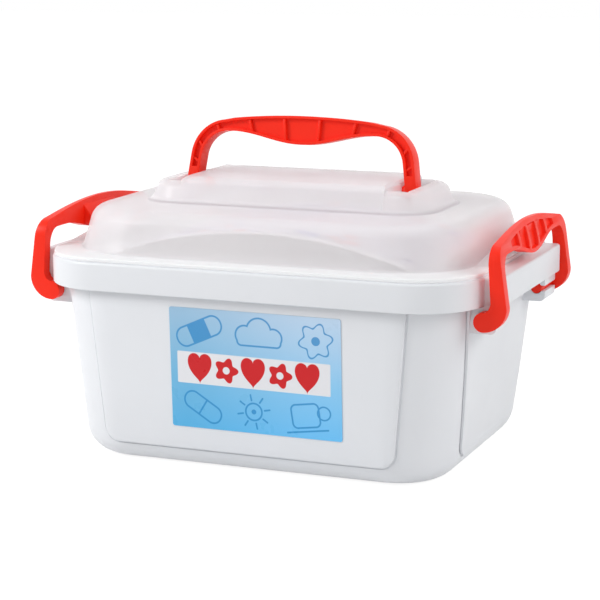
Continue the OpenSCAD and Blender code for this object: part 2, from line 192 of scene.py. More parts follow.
def addRod(radius, length, at, turn=(0, 0, 0), sides=64):
    deselectAll()
    bpy.ops.mesh.primitive_cylinder_add(vertices=sides, radius=radius * mm, depth=length * mm,
                                        location=[v * mm for v in at],
                                        rotation=[math.radians(a) for a in turn])
    o = bpy.context.object
    applyPlace(o)
    return o


def addOutline(name, loops, depth, plane="XZ", at=0.0):
    # closed loops filled flat and thickened to depth about the place at, across the plane
    curve = bpy.data.curves.new(name, "CURVE")
    curve.dimensions = "2D"
    curve.fill_mode = "BOTH"
    curve.extrude = depth / 2 * mm
    for points in loops:
        line = curve.splines.new("POLY")
        line.points.add(len(points) - 1)
        for p, (a, b) in zip(line.points, points):
            p.co = (a * mm, b * mm, 0, 1)
        line.use_cyclic_u = True
    o = bpy.data.objects.new(name, curve)
    scene.collection.objects.link(o)
    makeActive(o)
    bpy.ops.object.convert(target="MESH")
    o = bpy.context.object
    if plane == "XZ":
        o.matrix_world = Matrix(((1, 0, 0, 0), (0, 0, -1, at * mm), (0, 1, 0, 0), (0, 0, 0, 1)))
    else:
        o.matrix_world = Matrix(((0, 0, 1, at * mm), (1, 0, 0, 0), (0, 1, 0, 0), (0, 0, 0, 1)))
    applyPlace(o)
    return cleaned(o)


def arc(centre, radius, start, end, steps):
    angles = [math.radians(start + (end - start) * i / steps) for i in range(steps + 1)]
    return [(centre[0] + radius * math.cos(a), centre[1] + radius * math.sin(a)) for a in angles]


def mirroredPath(points):
    return [(-a, b) for a, b in reversed(points)]


# Lofts: round-cornered rings, bridged from one to the next


def addRing(length, width, radius, z, steps):
    bpy.ops.mesh.primitive_plane_add(size=1, location=(0, 0, z * mm))
    bpy.ops.transform.resize(value=(length * mm, width * mm, 1), center_override=(0, 0, z * mm))
    bpy.ops.mesh.bevel(offset=radius * mm, segments=steps, affect="VERTICES")
    bpy.ops.mesh.delete(type="ONLY_FACE")


def ringsOf(o):
    # the separate closed loops of the mesh, in the order they were added
    near = {v.index: [] for v in o.data.vertices}
    for e in o.data.edges:
        a, b = e.vertices
        near[a].append(b)
        near[b].append(a)
    seen = set()
    rings = []
    for first in sorted(near):
        if first in seen:
            continue
        ring, todo = [], [first]
        while todo:
            v = todo.pop()
            if v not in seen:
                seen.add(v)
                ring.append(v)
                todo += near[v]
        rings.append(ring)
    return rings


def loft(name, rings, steps=14, capFirst=True, capLast=True):
    deselectAll()
    o = bpy.data.objects.new(name, bpy.data.meshes.new(name))
    scene.collection.objects.link(o)
    editMode(o)
    for length, width, radius, z in rings:
        addRing(length, width, radius, z, steps)
    objectMode()
    loops = ringsOf(o)
    ringOf = {v: i for i, loop in enumerate(loops) for v in loop}
    editMode(o, "EDGE")
    for i in range(len(loops) - 1):
        both = (i, i + 1)
        pickEdges(o, lambda e: all(ringOf.get(v.index) in both for v in e.verts)
                  and ringOf.get(e.verts[0].index) == ringOf.get(e.verts[1].index))
        bpy.ops.mesh.bridge_edge_loops()
    for wanted, i in ((capFirst, 0), (capLast, len(loops) - 1)):
        if wanted:
            pickEdges(o, lambda e: all(ringOf.get(v.index) == i for v in e.verts))
            bpy.ops.mesh.edge_face_add()
    bpy.ops.mesh.select_all(action="SELECT")
    bpy.ops.mesh.normals_make_consistent(inside=False)
    objectMode()
    return o


def shrunk(ring, by, z):
    length, width, radius, _ = ring
    return (length - 2 * by, width - 2 * by, radius - by, z)


def roundedIn(ring, radius, z, steps, start=18):
    # rings of a round edge that turns in over the top of this ring, up to a quarter turn
    out = []
    for i in range(steps + 1):
        a = math.radians(start + (90 - start) * i / steps)
        out.append(shrunk(ring, radius * (1 - math.cos(a)), z + radius * math.sin(a)))
    return out


def edgeRings(ring, z, steps):
    # a ring for each pair of values, which say how far in from this ring and how far up from z
    return [shrunk(ring, inwards, z + up) for inwards, up in steps]


# Tub

tub = {
    "height": 105.5,
    "top": (227, 160.6, 37),       # length, width and corner radius of each ring
    "base": (205.6, 154.2, 32.5),
    "floorRound": 15,
    "wall": 2,
    "wallRings": (15, 40, 65),     # heights
    "outerRing": 88,
    "innerRing": 60,
    "beyond": 110,                 # height of the cutters, past the top
    "through": 70,                 # and their length across the wall
    "rim": (236, 170.4, 36),
    "rimRound": 1.6,
    "skirt": 14.7,
    "skirtIn": ((0, 0.7), (-0.3, 0.15)),                         # in and up
    "skirtEdge": ((1, 0), (0.4, 0.1), (0.1, 0.4), (0, 0.9)),
    "underRim": 0.8,
    "mouth": (0.5, 0.8),           # in and down, at the opening's edge
    "panelStep": 1.2,
    "panelRise": 98,               # the panels end behind the skirt
    "panelTop": 95.5,
    "panelEdge": (0.45, 3, 50),    # of each soft edge: width, segments and least angle
    "frontPanel": (173, 159),      # width at the top and at the foot
    "endPanel": (114, 92),
    "panelFoot": 11,
    "panelCorner": 8,
    "groove": (1.0, 0.35),         # width, depth
    "grooveTop": 90.6,             # just under the skirt
    "lugIn": 100,
    "lugOut": 123.5,
    "lugLow": 77.3,
    "lugTop": 92.8,
    "lugAt": 44.4,
    "lugWidth": 20,
    "lugCorner": 3,
    "lugEdge": (0.4, 2, 50),
    "slot": 3,                     # the way in for a clip's pin
    "shelf": (253, 109, 3),        # the rim's step between a clip's arms
    "shelfRound": 1.2,
    "shelfEdge": ((0.9, 0), (0.3, 0.2), (0, 0.8)),
}

hinge = {"x": 118.7, "z": 84.3, "pin": 3.0, "bore": 3.08}      # pin and bore are radii


def tubRing(z, out=0.0):
    # the drafted wall at this height, moved outwards by this much
    share = (z - tub["floorRound"]) / (tub["height"] - 1 - tub["floorRound"])
    length, width, radius = (b + (t - b) * share for b, t in zip(tub["base"], tub["top"]))
    return (length + 2 * out, width + 2 * out, radius + out, z)


def tubRings(out, heights):
    # from the middle of the floor up the wall
    foot = tub["floorRound"]
    base = tubRing(foot, out)
    turn = foot + out
    rings = [shrunk(base, turn * (1 - math.cos(a)), foot - turn * math.sin(a))
             for a in (math.radians(90 - 11.25 * i) for i in range(8))]
    return rings + [tubRing(z, out) for z in heights]


def wallLoft(name, out, top):
    # a solid block of the tub's outside, moved outwards by this much
    return loft(name, tubRings(out, (*tub["wallRings"], top)))


def buildShell():
    top, wall, edge, over = tub["height"], tub["wall"], tub["underRim"], tub["rimRound"]
    skirtFoot = top - tub["skirt"]
    rim = (*tub["rim"], 0)
    outer = tubRings(0, (*tub["wallRings"], tub["outerRing"], top - wall - edge))
    lip = shrunk(rim, wall, 0)
    skirt = edgeRings(lip, top - wall, ((edge, 0), (0, -edge)))
    skirt += edgeRings(lip, skirtFoot, tub["skirtIn"]) + edgeRings(rim, skirtFoot, tub["skirtEdge"])
    skirt.append(shrunk(rim, 0, top - over))
    skirt += roundedIn(rim, over, top - over, 5)
    mouthIn, mouthDown = tub["mouth"]
    inner = list(reversed(tubRings(-wall, (tub["floorRound"], tub["innerRing"], top - mouthDown))))
    inner.insert(0, tubRing(top, mouthIn - wall))
    return loft("tub_shell", outer + skirt + inner)


def panelOutline(topWidth, lowWidth, grow=0.0):
    foot, corner = tub["panelFoot"], tub["panelCorner"]
    middle = (lowWidth / 2 - corner, foot + corner)
    right = arc(middle, corner + grow, -90, 0, 8) + [(topWidth / 2 + grow, tub["panelTop"] + grow)]
    return right + mirroredPath(right)


def throughWall(name, loops, plane, side):
    # loops in a panel's plane, thickened through the tub's wall on that side
    across = tub["top"][1] if plane == "XZ" else tub["top"][0]
    return addOutline(name, loops, tub["through"], plane, side * across / 2)


def outsideWall(o):
    # leaves only what lies outside the middle of the tub's wall
    return carve(o, wallLoft("wall_middle", -0.4 * tub["wall"], tub["beyond"]))


def buildPanel(widths, plane, side):
    slab = wallLoft("panel", tub["panelStep"], tub["panelRise"])
    carve(slab, throughWall("cutter", [panelOutline(*widths)], plane, side), "INTERSECT")
    return cleaned(softEdges(outsideWall(slab), *tub["panelEdge"]))


def cutGroove(shell, widths, plane, side):
    # a fine groove round the panel, which reads as its dark outline
    width, depth = tub["groove"]
    band = throughWall("groove", [panelOutline(*widths, width), panelOutline(*widths)], plane, side)
    tall = 40
    carve(band, addBlock((400, 400, tall), (0, 0, tub["grooveTop"] + tall / 2)))
    carve(band, wallLoft("groove_floor", -depth, tub["beyond"]))
    return carve(shell, band)


def buildLug(side):
    x, z, half = hinge["x"], hinge["z"], tub["slot"] / 2
    opening = math.degrees(math.asin(half / hinge["bore"]))
    out, low, corner = tub["lugOut"], tub["lugLow"], tub["lugCorner"]
    path = [(tub["lugIn"], tub["lugTop"]), (out, tub["lugTop"]), (out, z + half)]
    path += arc((x, z), hinge["bore"], opening, 360 - opening, 20)
    path += [(out, z - half)] + arc((out - corner, low + corner), corner, 0, -90, 6)
    path += [(tub["lugIn"], low)]
    lug = addOutline("lug", [path], tub["lugWidth"], "XZ", side * tub["lugAt"])
    return cleaned(softEdges(outsideWall(lug), *tub["lugEdge"]))


def buildShelves():
    ring = (*tub["shelf"], 0)
    top, wall, edge, over = tub["height"], tub["wall"], tub["underRim"], tub["shelfRound"]
    foot = top - tub["skirt"]
    rings = edgeRings(ring, foot, tub["shelfEdge"]) + [shrunk(ring, 0, top - over)]
    rings += roundedIn(ring, over, top - over, 4)
    inner = shrunk(ring, wall, 0)
    hollow = [shrunk(inner, 0, foot - 2)] + edgeRings(inner, top - wall, ((0, -edge), (edge, 0)))
    shelves = carve(loft("shelves", rings, steps=6), loft("hollow", hollow, steps=4))
    # only what lies outside the middle of the rim's wall stays
    return cleaned(carve(shelves, addBlock((tub["rim"][0] - wall, 140, 60), (0, 0, foot))))


def buildTub():
    shell = buildShell()
    for side in (-1, 1):
        cutGroove(shell, tub["frontPanel"], "XZ", side)
        cutGroove(shell, tub["endPanel"], "YZ", side)
    parts = [cleaned(shell), buildShelves()]
    for side in (-1, 1):
        parts.append(buildPanel(tub["frontPanel"], "XZ", side))
        parts.append(buildPanel(tub["endPanel"], "YZ", side))
        lug = buildLug(side)
        parts += [lug, mirrorCopy(lug)]
    return joined("tub_shell", parts)


tubShell = buildTub()
print("tub:", len(tubShell.data.polygons), "faces")
smooth(tubShell)

# Lid

lid = {
    "flange": (234.4, 168.8, 35.2),  # length, width and corner radius of each ring
    "flangeFoot": 105.6,
    "flangeTop": 107.7,
    "flangeLow": ((0.4, 0), (0, 0.4)),                           # in and up
    "flangeHigh": ((0, -0.7), (0.2, -0.2), (0.7, 0)),
    "shell": 1.8,
    "dome": (218, 148, 43),
    "domeTop": 129.7,
    "domeLean": 4.5,
    "domeRound": 9,
    "domeFillet": ((0, 1.7), (0.25, 0.9), (0.8, 0.35), (1.7, 0), (8, 0)),    # up and out
    "deck": (161, 67, 20),
    "deckFoot": 127.1,
    "deckLean": 3.6,
    "deckRound": 5.5,
    "deckFillet": ((0.02, 2.6), (0.35, 1.7), (1, 0.85), (2, 0.25), (3, 0)),
    "shoulderTop": 140.7,
    "middleTop": 143.5,
    "middleHalf": 56.6,
    "middleCut": 1.5,
    "pocket": (10.8, 48, 132.2),     # length, width, floor
    "lip": (221.6, 155.2, 34.3),
    "lipFoot": 100.5,
    "lipWall": 1.6,
    "ledge": (47, 111.4, 1.2),       # half width, top, chamfer
    "ledgeEdge": (0.6, 3, 35),       # of each soft edge: width, segments and least angle
}

handle = {
    "pivot": 137.3,
    "lean": 7,
    "depth": 9,
    "top": 174.1,
    "crown": 350,            # radius of the top's curve
    "bend": (41.7, 149.5),
    "bendOut": 21.5,
    "leg": 6,
    "legLean": 8,
    "belly": 6,
    "bellyHalf": 40,
    "border": 1.4,
    "web": 4.4,
    "ribs": 6,
    "ribPlate": (1.3, 30),   # thickness, height
    "ribPitch": 19,
    "ribMiddle": 165,
    "ribFan": 9,             # degrees from one rib to the next
    "legPlate": (9, 1.2),    # length, thickness
    "legRibs": ((60.3, 149, -35), (58, 157.5, -50)),    # x, z, turn
    "edge": (0.55, 3, 50),
    "ribEdge": (0.25, 2, 50),
    "pin": 2.8,
    "pinHole": 2.88,
    "pinEdge": (0.3, 2, 50),
    "footIn": 57.8,
    "footOut": 65.0,
    "footEdge": (0.5, 2, 50),
}


def risingRings(foot, footZ, lean, edge, top, inset, fillet):
    # rings of a leaning wall that ends in a round edge to its top, as far in as inset
    radius = max(edge - inset, 0.4)
    footR = foot[2] - inset
    midR = foot[2] - lean - edge if inset <= edge else footR - lean - radius
    midZ = top - inset - radius
    away = math.atan2(footZ - midZ, footR - midR)
    tangent = away + math.acos(radius / math.hypot(footR - midR, footZ - midZ))
    ring = (*foot, 0)
    rise = midZ + radius * math.sin(tangent)
    turn = foot[2] - midR - radius * math.cos(tangent)
    slope = (turn - inset) / (rise - footZ)
    rings = [shrunk(ring, inset + slope * (z - footZ) - flare, z) for z, flare in fillet]
    steps = 8
    for i in range(steps + 1):
        a = tangent + (math.pi / 2 - tangent) * i / steps
        rings.append(shrunk(ring, foot[2] - midR - radius * math.cos(a), midZ + radius * math.sin(a)))
    return rings


def domeSolid(inset):
    # the flange and the dome, or with an inset the room inside the dome
    low = lid["flangeTop"]
    if inset:
        fillet = ((low, 0), (low + 8, 0))
        rings = [shrunk((*lid["dome"], 0), inset, low - 8)]
    else:
        fillet = [(low + up, out) for up, out in lid["domeFillet"]]
        flange = (*lid["flange"], 0)
        rings = edgeRings(flange, lid["flangeFoot"], lid["flangeLow"])
        rings += edgeRings(flange, low, lid["flangeHigh"])
    rings += risingRings(lid["dome"], low, lid["domeLean"], lid["domeRound"], lid["domeTop"], inset, fillet)
    return loft("dome", rings)


def deckSolid(top, inset):
    low = lid["deckFoot"]
    if inset:
        fillet = ((low - 1, 0),)
    else:
        fillet = [(lid["domeTop"] + up, out) for up, out in lid["deckFillet"]]
        fillet.insert(0, (low, fillet[0][1]))
    rings = risingRings(lid["deck"], low, lid["deckLean"], lid["deckRound"], top, inset, fillet)
    return loft("deck", rings, steps=10)


def pocketBlocks(grow):
    # the room for the handle's feet at each end of the deck's middle
    length, width, floor = lid["pocket"]
    tall = 30
    blocks = []
    for side in (-1, 1):
        place = (side * (lid["middleHalf"] + length / 2), 0, floor - grow + tall / 2)
        blocks.append(addBlock((length + 2 * grow, width + 2 * grow, tall), place))
    return blocks


def middleSolid(inset):
    half, top = lid["middleHalf"] - inset, lid["middleTop"] - inset
    cut = max(lid["middleCut"] - 0.6 * inset, 0.2)
    low = lid["domeTop"] - 2 - inset
    path = [(-half, low), (half, low), (half, top - cut), (half - cut, top), (half - cut, top + 2),
            (cut - half, top + 2), (cut - half, top), (-half, top - cut)]
    cutter = addOutline("cutter", [path], 120)
    return carve(deckSolid(lid["middleTop"], inset), cutter, "INTERSECT")


def lidSolid(inset):
    shoulders = deckSolid(lid["shoulderTop"], inset)
    for block in pocketBlocks(inset):
        carve(shoulders, block)
    body = carve(domeSolid(inset), shoulders, "UNION")
    return carve(body, middleSolid(inset), "UNION")


def ledgeBlocks():
    # arched ledges on the flange, which the noses of the clips reach over
    half, top, cut = lid["ledge"]
    footX, rootX = lid["flange"][0] / 2 - 0.6, lid["dome"][0] / 2 - 11
    low, side = lid["flangeTop"] - 1.6, lid["flangeTop"] - 0.4
    profile = [(rootX, low), (footX, low), (footX, top - cut), (footX - cut, top), (rootX, top)]
    arch = [(-half, low)] + [(half * i / 20, side + (top - side) * math.cos(math.pi * i / 40))
                             for i in range(-20, 21)] + [(half, low)]
    blocks = []
    for path in (profile, mirroredPath(profile)):
        ledge = addOutline("ledge", [path], 2 * half)
        carve(ledge, addOutline("arch", [arch], 260, "YZ"), "INTERSECT")
        blocks.append(cleaned(softEdges(ledge, *lid["ledgeEdge"])))
    return blocks


def buildLip():
    ring = (*lid["lip"], 0)
    top, low, wall = lid["flangeFoot"] + 0.4, lid["lipFoot"], lid["lipWall"]
    rings = [shrunk(ring, 0, top)]
    rings += edgeRings(ring, low, ((0, 0.5), (0.4, 0), (wall - 0.4, 0), (wall, 0.5)))
    rings += [shrunk(ring, wall, top), shrunk(ring, 0, top)]
    return cleaned(loft("lip", rings, capFirst=False, capLast=False))


def buildLid():
    body = lidSolid(0)
    for ledge in ledgeBlocks():
        carve(body, ledge, "UNION")
    for side in (-1, 1):
        rod = addRod(handle["pinHole"], 6, (side * lid["middleHalf"], 0, handle["pivot"]), (0, 90, 0), 32)
        carve(body, rod)
    carve(body, lidSolid(lid["shell"]))
    return joined("lid_shell", [cleaned(body, 0.02), buildLip()])


lidShell = buildLid()
print("lid:", len(lidShell.data.polygons), "faces")
smooth(lidShell)

# Handle


def handleHalf(inset, outer):
    # the right half of one edge of the bow, from the foot to the middle
    bx, bz = handle["bend"]
    radius = handle["bendOut"] - inset if outer else handle["bendOut"] - handle["leg"] + inset
    lean = math.radians(handle["legLean"])
    fromX, fromZ = bx + radius * math.cos(lean), bz + radius * math.sin(lean)
    path = [(fromX + (fromZ - handle["pivot"]) * math.tan(lean), handle["pivot"])]
    if outer:
        path += arc((bx, bz), radius, handle["legLean"], 84, 14)
        top = handle["top"] - inset
        path += [(x, top - x * x / (2 * handle["crown"])) for x in (38, 32, 26, 20, 14, 7, 0)]
    else:
        path += arc((bx, bz), radius, handle["legLean"], 90, 12)
        for i in range(12, -1, -1):
            dip = 0.5 + 0.5 * math.cos(math.pi * i / 12)
            path.append((handle["bellyHalf"] * i / 12, bz + radius - handle["belly"] * dip))
    return path


def handleLoop(inset, cutFoot=0.0):
    outer, inner = handleHalf(inset, True), handleHalf(inset, False)
    if cutFoot:
        for path in (outer, inner):
            (x0, z0), (x1, z1) = path[0], path[1]
            share = cutFoot / (z1 - z0)
            path[0] = (x0 + (x1 - x0) * share, z0 + cutFoot)
    across = outer + mirroredPath(outer)[1:]
    back = inner + mirroredPath(inner)[1:]
    return across + list(reversed(back))


def buildHandle():
    pivot, depth = handle["pivot"], handle["depth"]
    frameBand = addOutline("handle", [handleLoop(0), handleLoop(handle["border"], 8)], depth)
    softEdges(frameBand, *handle["edge"])
    web = addOutline("web", [handleLoop(0.6)], handle["web"])
    ribDepth = depth - 1.2
    thick, tall = handle["ribPlate"]
    ribs = []
    for i in range(handle["ribs"]):
        k = i - (handle["ribs"] - 1) / 2
        place = (k * handle["ribPitch"], 0, handle["ribMiddle"])
        ribs.append(addBlock((thick, ribDepth, tall), place, (0, handle["ribFan"] * k, 0)))
    long, thick = handle["legPlate"]
    for side in (-1, 1):
        for x, z, turn in handle["legRibs"]:
            ribs.append(addBlock((long, ribDepth, thick), (side * x, 0, z), (0, turn * side, 0)))
    ribs = joined("ribs", ribs)
    carve(ribs, addOutline("inside", [handleLoop(0.5)], depth + 4), "INTERSECT")
    softEdges(ribs, *handle["ribEdge"])
    bow = joined("handle", [frameBand, web, ribs])
    upright = Matrix.Translation((0, 0, pivot * mm))
    moved(bow, upright @ Matrix.Rotation(math.radians(-handle["lean"]), 4, "X") @ upright.inverted())
    parts = [bow]
    inX, outX = handle["footIn"], handle["footOut"]
    pinIn, pinOut = lid["middleHalf"] - 5, outX - 1
    for side in (-1, 1):
        boss = addRod(depth / 2, outX - inX, (side * (inX + outX) / 2, 0, pivot), (0, 90, 0), 48)
        parts.append(softEdges(boss, *handle["footEdge"]))
        pin = addRod(handle["pin"], pinOut - pinIn, (side * (pinIn + pinOut) / 2, 0, pivot), (0, 90, 0), 32)
        parts.append(softEdges(pin, *handle["pinEdge"]))
    return joined("carry_bail", parts)


bail = buildHandle()
print("handle:", len(bail.data.polygons), "faces")
smooth(bail, 38)

# Clips

clip = {
    "length": 261,
    "width": 121.6,
    "arm": 5.9,
    "hookR": 12.0,                 # the round at an arm's foot
    "endR": 4.9,                   # the arm's end round the pin
    "armLean": 8.2,
    "armIn": 122.4,
    "barIn": 121.2,
    "barZ": 113,
    "barR": 60,                    # the bar's curve, seen from the front
    "top": 127.2,
    "fall": 7.2,                   # from the middle to the ends
    "low": 116.3,
    "bellyLow": 110,
    "bellyHalf": 38,
    "arch": 8,
    "shoulder": 9,
    "pocketPitch": 16,
    "pocketWidth": 12.6,
    "pocketDepth": 1.8,
    "lip": 2,
    "band": 2.6,
    "nose": (114.7, 36, 113),      # inner end, width, underside
    "pinLength": 20,
    "bodyEdge": (2.3, 6, 38),
    "pocketEdge": (0.35, 2, 48),
    "noseEdge": (0.6, 3, 30),
    "pinEdge": (0.4, 2, 50),
}


def barCentre():
    hookZ = hinge["z"] - clip["endR"] + clip["hookR"]
    lean = math.radians(clip["armLean"])
    out = clip["length"] / 2 - (clip["barZ"] - hookZ) * math.tan(lean)
    return out - clip["barR"] * math.cos(lean), clip["barZ"] - clip["barR"] * math.sin(lean)


def clipSide():
    hookX, hookZ = clip["length"] / 2 - clip["hookR"], hinge["z"] - clip["endR"] + clip["hookR"]
    cx, cz = barCentre()
    end = math.degrees(math.asin((clip["top"] + 1 - cz) / clip["barR"]))
    path = arc((hookX, hookZ), clip["hookR"], -90, 0, 14)
    path += arc((cx, cz), clip["barR"], clip["armLean"], end, 10)
    path += [(clip["barIn"], clip["top"] + 1), (clip["barIn"], clip["barZ"])]
    path += [(clip["armIn"], hookZ + 2), (clip["armIn"] - 0.9, hookZ - 0.6)]
    path += arc((hinge["x"], hinge["z"]), clip["endR"], 80, 260, 14)
    return path


def topEdge(y):
    return clip["top"] - clip["fall"] * (1 - math.cos(math.pi * y / clip["width"]))


def lowEdge(y):
    if abs(y) >= clip["bellyHalf"]:
        return clip["low"]
    share = 0.5 - 0.5 * math.cos(math.pi * y / clip["bellyHalf"])
    return clip["bellyLow"] + (clip["low"] - clip["bellyLow"]) * share


def clipFront():
    # the outline from the end: a bar over two arms, which run on past the hooks
    half = clip["width"] / 2
    inner, side = half - clip["arm"], half - clip["shoulder"]
    top = [(half, 70)] + arc((side, topEdge(side) - clip["shoulder"]), clip["shoulder"], 0, 76, 6)
    top += [(side * i / 14, topEdge(side * i / 14)) for i in range(13, -1, -1)]
    low = [(inner, 70)] + arc((inner - clip["arch"], clip["low"] - clip["arch"]), clip["arch"], 0, 90, 9)
    low += [(clip["bellyHalf"] * i / 14, lowEdge(clip["bellyHalf"] * i / 14)) for i in range(14, -1, -1)]
    upper = top + mirroredPath(top)[1:]
    lower = low + mirroredPath(low)[1:]
    return upper + list(reversed(lower))


def pocketTool():
    # the hollows between the ribs on the bar's outside
    cx, cz = barCentre()
    radius = clip["barR"] - clip["pocketDepth"]
    band = arc((cx, cz), radius, 0, 30, 16) + arc((cx, cz), radius + 8, 30, 0, 16)
    shell = addOutline("pockets", [band], clip["width"])
    loops = []
    for i in range(-2, 3):
        middle, half = i * clip["pocketPitch"], clip["pocketWidth"] / 2
        sides = [middle + half * k / 3 for k in range(-3, 4)]
        loops.append([(y, lowEdge(y) + clip["lip"]) for y in sides]
                     + [(y, topEdge(y) - clip["band"]) for y in reversed(sides)])
    return carve(shell, addOutline("openings", loops, 60, "YZ", 125), "INTERSECT")


def buildClip(name):
    body = addOutline(name, [clipSide()], 2 * clip["width"])
    carve(body, addOutline("front", [clipFront()], 100, "YZ", 120), "INTERSECT")
    cleaned(body)
    softEdges(body, *clip["bodyEdge"])
    carve(body, pocketTool())
    cleaned(body)
    softEdges(body, *clip["pocketEdge"])
    inX, width, foot = clip["nose"]
    barIn = clip["barIn"]
    profile = [(inX, foot), (barIn + 3, foot), (barIn + 3, foot + 11), (barIn, foot + 11),
               (inX + 1, foot + 4)]
    parts = [body, softEdges(addOutline("nose", [profile], width), *clip["noseEdge"])]
    length = clip["pinLength"] + 1
    y = clip["width"] / 2 - clip["arm"] + 1 - length / 2
    for side in (-1, 1):
        pin = addRod(hinge["pin"], length, (hinge["x"], side * y, hinge["z"]), (90, 0, 0), 40)
        parts.append(softEdges(pin, *clip["pinEdge"]))
    return joined(name, parts)


rightClip = buildClip("right_grip")
leftClip = mirrorCopy(rightClip)
leftClip.name = "left_grip"
for o in (rightClip, leftClip):
    smooth(o, 36)
print("clips:", len(rightClip.data.polygons), "faces each")

# Leaflet: a thin printed sheet, bowed up between the ends of the case

sheet = {
    "radius": 235,
    "top": 121,
    "reach": 106,             # from the middle to each end
    "width": 116,
    "thick": 0.5,
    "steps": 48,
    "tone": (0.82, 0.80, 0.83),
    "paper": (0.66, 0.65, 0.75),
    # painted highlight: the near-white band painted along the sheet's front and back edges
    "border": (0.98, 0.98, 0.99),
    "edgeHighlightFrom": (53.4, 53.8),
    "blue": (0.03, 0.04, 0.4),
    "red": (0.75, 0.01, 0.03),
    "spotsFrom": (30, 31),    # the spots lie towards the front and back edges
    "spotScale": 75.0,
    "spotEdge": (0.34, 0.38),
    "spotShare": (0.7, 0.72),
    "passes": 0.5,            # how much of the light goes through
}


def buildLeaflet():
    centreZ = sheet["top"] - sheet["radius"]
    half = math.asin(sheet["reach"] / sheet["radius"])
    deselectAll()
    bpy.ops.mesh.primitive_plane_add(size=1, location=(0, 0, (sheet["top"] - sheet["thick"] / 2) * mm),
                                     rotation=(0, math.radians(90), 0))
    o = bpy.context.object
    o.scale = (sheet["thick"] * mm, sheet["width"] * mm, 1)
    applyPlace(o)
    centre = Vector((0, 0, centreZ * mm))
    moved(o, Matrix.Translation(centre) @ Matrix.Rotation(-half, 4, "Y") @ Matrix.Translation(-centre))
    editMode(o, "FACE")
    bpy.ops.mesh.select_all(action="SELECT")
    bpy.ops.mesh.spin(steps=sheet["steps"], angle=2 * half, center=centre, axis=(0, -1, 0))
    objectMode()
    o.name = "bowed_sheet"
    return cleaned(o)


bowedSheet = buildLeaflet()
smooth(bowedSheet, 30)
print("leaflet:", [round(v / mm, 1) for v in bowedSheet.dimensions])

# Materials


class Value:
    # a node's output that can be used in arithmetic: each step adds its Math node
    def __init__(self, finish, socket):
        self.finish = finish
        self.socket = socket

    def maths(self, operation, *others, first=None):
        terms = (self, *others) if first is None else (first, self)
        return self.finish.add("ShaderNodeMath", {"operation": operation}, dict(enumerate(terms)))

    def __add__(self, other):
        return self.maths("ADD", other)

    def __radd__(self, other):
        return self.maths("ADD", first=other)

    def __sub__(self, other):
        return self.maths("SUBTRACT", other)

    def __rsub__(self, other):
        return self.maths("SUBTRACT", first=other)

    def __mul__(self, other):
        return self.maths("MULTIPLY", other)

    def __rmul__(self, other):
        return self.maths("MULTIPLY", first=other)

    def __truediv__(self, other):
        return self.maths("DIVIDE", other)

    def __rtruediv__(self, other):
        return self.maths("DIVIDE", first=other)

    def __abs__(self):
        return self.maths("ABSOLUTE")

    def least(self, other):
        return self.maths("MINIMUM", other)

    def most(self, other):
        return self.maths("MAXIMUM", other)

    def root(self):
        return self.maths("POWER", 0.5)


class Finish:
    # one material: the uniform values sit on its shader, the rest is plugged in
    def __init__(self, name, colour, rough, **uniform):
        self.material = bpy.data.materials.new(name)
        self.material.use_nodes = True
        self.tree = self.material.node_tree
        self.shader = self.tree.nodes["Principled BSDF"]
        self.shader.inputs["Base Color"].default_value = (*colour, 1)
        self.shader.inputs["Roughness"].default_value = rough
        for key, value in uniform.items():
            self.shader.inputs[key].default_value = value
        self.material.diffuse_color = (*colour, uniform.get("Alpha", 1))

    def plug(self, value, socket):
        if isinstance(value, Value):
            self.tree.links.new(value.socket, socket)
        else:
            socket.default_value = value

    def add(self, kind, settings=None, sockets=None, out=0):
        n = self.tree.nodes.new(kind)
        for key, value in (settings or {}).items():
            if key == "stops":
                ramp = n.color_ramp
                while len(ramp.elements) < len(value):
                    ramp.elements.new(1)
                for stop, (place, colour) in zip(ramp.elements, value):
                    stop.position = place
                    stop.color = (*colour, 1)
            else:
                setattr(n, key, value)
        for key, value in (sockets or {}).items():
            self.plug(value, n.inputs[key])
        return Value(self, n.outputs[out])

    def use(self, **sockets):
        for key, value in sockets.items():
            self.plug(value, self.shader.inputs[key.replace("_", " ")])
        return self

    def place(self):
        return self.add("ShaderNodeTexCoord", out="Object")

    def axes(self):
        # the object's own x, y and z in mm
        split = self.add("ShaderNodeSeparateXYZ", sockets={0: self.place()}, out="X")
        outs = split.socket.node.outputs
        return [Value(self, outs[k]) * (1 / mm) for k in "XYZ"]

    def noise(self, scale, detail=3.0, rough=0.5):
        return self.add("ShaderNodeTexNoise", {}, {"Vector": self.place(), "Scale": scale, "Detail": detail,
                                                   "Roughness": rough}, "Fac")

    def spread(self, value, low, high, fromLow=0.3, fromHigh=0.7):
        return self.add("ShaderNodeMapRange", {}, {"Value": value, "From Min": fromLow, "From Max": fromHigh,
                                                   "To Min": low, "To Max": high})

    def mixed(self, share, first, second):
        # colour sockets of the Mix node are its inputs 6 and 7
        return self.add("ShaderNodeMix", {"data_type": "RGBA"}, {0: share, 6: first, 7: second}, 2)

    def bump(self, height, strength, distance):
        return self.add("ShaderNodeBump", {}, {"Height": height, "Strength": strength,
                                               "Distance": distance * mm})


moulding = {
    "cloud": (18.0, 4.0),         # scale and detail of each noise
    "gloss": (60.0, 5.0),
    "grain": (900.0, 2.0),
    "grainHeight": 0.05,
    "duller": 0.07,
    "shinier": 0.06,
}

plastics = {
    "white": ((0.775, 0.79, 0.82), 0.4),      # colour and roughness
    "lid": ((0.855, 0.825, 0.84), 0.4),
    "red": ((0.97, 0.026, 0.008), 0.38),
    "blue": ((0.05, 0.2, 0.62), 0.32),
    "grey": ((0.45, 0.46, 0.48), 0.4),
    "tinted": ((0.55, 0.72, 0.86), 0.15),
    "rubber": ((0.05, 0.05, 0.055), 0.65),
}

